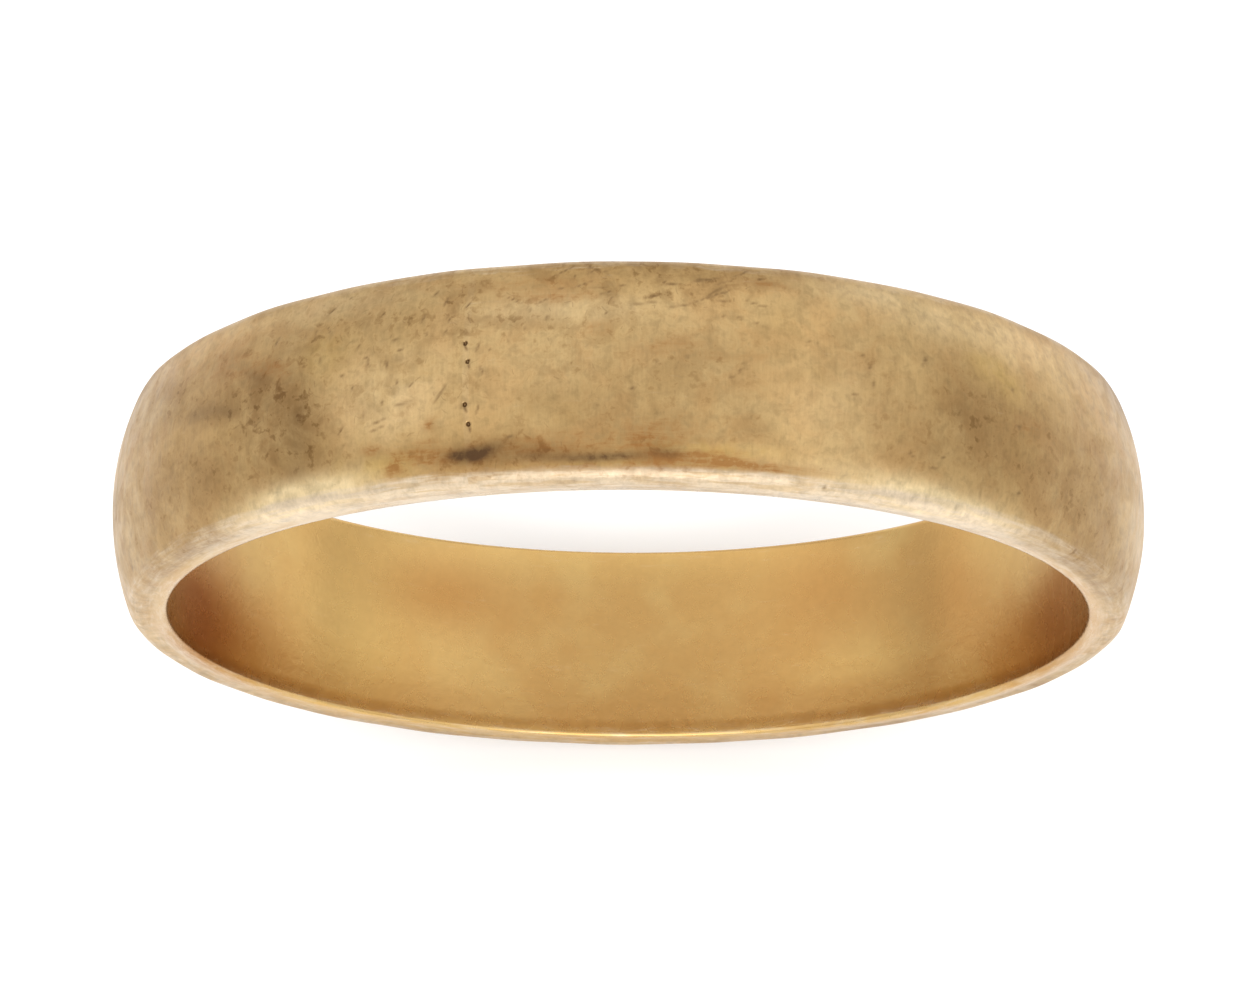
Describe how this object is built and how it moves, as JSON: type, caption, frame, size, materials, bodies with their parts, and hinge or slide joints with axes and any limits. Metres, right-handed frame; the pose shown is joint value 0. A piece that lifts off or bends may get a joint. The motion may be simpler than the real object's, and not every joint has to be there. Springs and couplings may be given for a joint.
{
  "type": "wedding band",
  "caption": "Plain finger ring with a domed outside, a flat inside and softly rounded edges, bent from one gold strip and closed by a soldered butt joint.",
  "frame": {"origin": "centre of the finger hole, half way across the band's width", "axes": "+Y along the finger's axis, from the front side of the band to the back; +Z towards the top of the ring as worn; +X to the right seen from the front, so the soldered joint lies about 16 degrees to the left of the top"},
  "size_m": [0.0194, 0.004, 0.0194],
  "materials": {
    "gold": "worn satin yellow gold, lightly tarnished and scratched, edges rubbed bright",
    "gold_solder": "satin, slightly paler than the band, with a few pinholes"
  },
  "bodies": {
    "root": {"band": "gold", "solder_seam": "gold_solder"}
  },
  "joints": []
}
